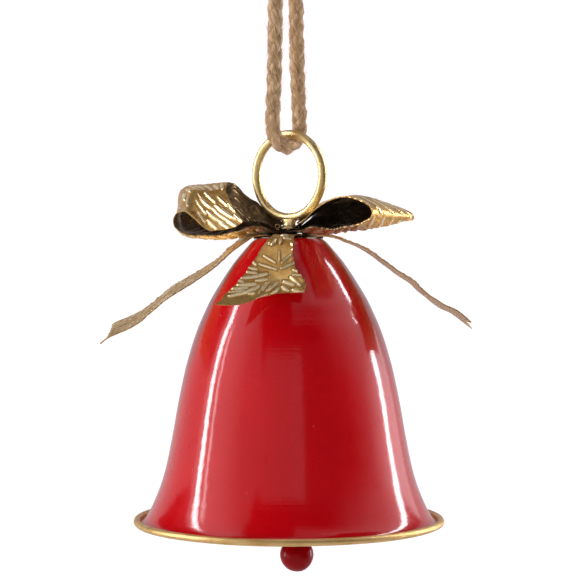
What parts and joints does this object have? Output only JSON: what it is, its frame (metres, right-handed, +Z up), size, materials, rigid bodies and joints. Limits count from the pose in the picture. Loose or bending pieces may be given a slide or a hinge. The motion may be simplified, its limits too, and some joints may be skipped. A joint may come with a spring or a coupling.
{
  "type": "christmas bell ornament",
  "caption": "Hanging bell ornament: flared red enamelled steel bell with a rolled gilt lip, an embossed gold metal bow, a wire hanging ring, a jute loop and a clapper.",
  "frame": {"origin": "centre of the knot at the top of the jute loop, where the ornament is hung up", "axes": "+Z straight up along the hang line, -Y towards the side with the front tail of the bow, +X to the right of that side"},
  "size_m": [0.1325, 0.1104, 0.2345],
  "materials": {
    "red_enamel": "gloss",
    "ball_enamel": "gloss",
    "rim_gold": "satin",
    "ring_gold": "satin",
    "bow_gold": "polished, embossed",
    "jute": "natural twisted fibre",
    "hardware": "zinc plated"
  },
  "bodies": {
    "hanger": {"loop_knot": "jute"},
    "cord_loop": {"jute_loop": "jute"},
    "bell": {"hanging_ring": "ring_gold", "bow_loop_left": "bow_gold", "bow_loop_right": "bow_gold", "side_tails": "bow_gold", "front_back_tails": "bow_gold", "bell_shell": "red_enamel", "rim_bead": "rim_gold", "eye_bolt": "hardware", "inner_washer": "hardware", "crown_nut": "hardware"},
    "link": {"clapper_link": "hardware"},
    "clapper": {"clapper_rod": "hardware", "clapper_ball": "ball_enamel"}
  },
  "joints": [
    {"name": "loop_swing", "type": "hinge", "parent": "hanger", "child": "cord_loop", "pos_m": [0, 0, 0], "axis": [0, 1, 0], "range_deg": [-20, 20]},
    {"name": "ring_swing", "type": "hinge", "parent": "cord_loop", "child": "bell", "pos_m": [0.0012, 0, -0.06575], "axis": [0.7934, -0.6088, 0], "range_deg": [-20, 20]},
    {"name": "link_swing", "type": "hinge", "parent": "bell", "child": "link", "pos_m": [0.004, 0, -0.1138], "axis": [1, 0, 0], "range_deg": [-8, 8]},
    {"name": "clapper_swing", "type": "hinge", "parent": "link", "child": "clapper", "pos_m": [0.004, 0, -0.1188], "axis": [0, 1, 0], "range_deg": [-22, 22]}
  ]
}
